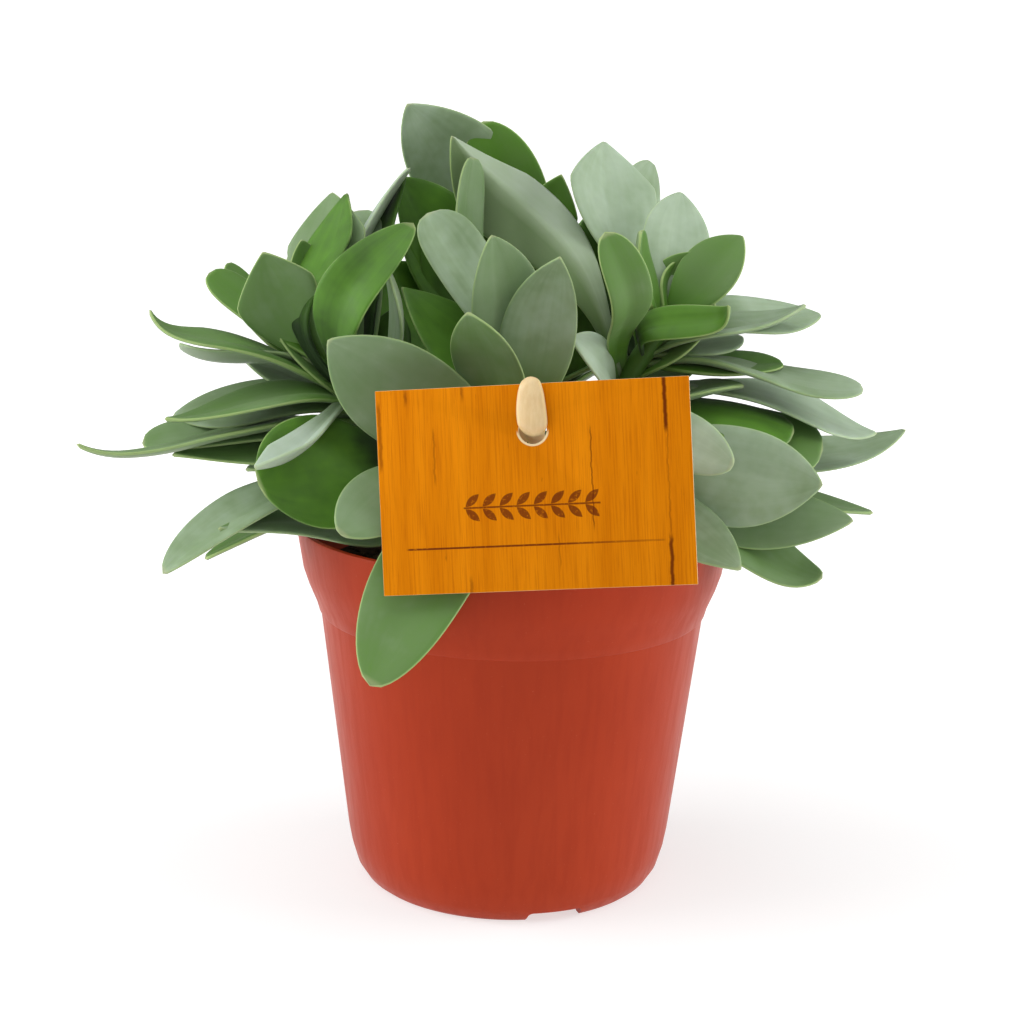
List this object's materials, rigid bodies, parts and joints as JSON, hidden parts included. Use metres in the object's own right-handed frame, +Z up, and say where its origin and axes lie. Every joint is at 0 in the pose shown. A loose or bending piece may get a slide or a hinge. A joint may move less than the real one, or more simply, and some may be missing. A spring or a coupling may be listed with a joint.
{
  "type": "potted senecio",
  "caption": "Leafy succulent with several leaning rosettes of flat pointed leaves in a plastic grow pot of soil, with a blank wood-grain card hung on a flat band.",
  "frame": {"origin": "on the surface that the pot stands on, under the middle of the whole object, within 2 mm of the pot's axis", "axes": "+Z up along the pot's axis; +X to the right and -Y to the front, where the card hangs"},
  "size_m": [0.225, 0.1549, 0.215],
  "materials": {
    "terracotta_plastic": "satin",
    "potting_soil": "matte",
    "senecio_leaf": "satin",
    "printed_card": "satin",
    "cream_band": "satin"
  },
  "bodies": {
    "root": {"pot": "terracotta_plastic", "soil": "potting_soil", "leafy_stem_left": "senecio_leaf", "leafy_stem_centre": "senecio_leaf", "leafy_stem_right": "senecio_leaf", "leafy_stem_back": "senecio_leaf", "card": "printed_card", "band": "cream_band"}
  },
  "joints": []
}
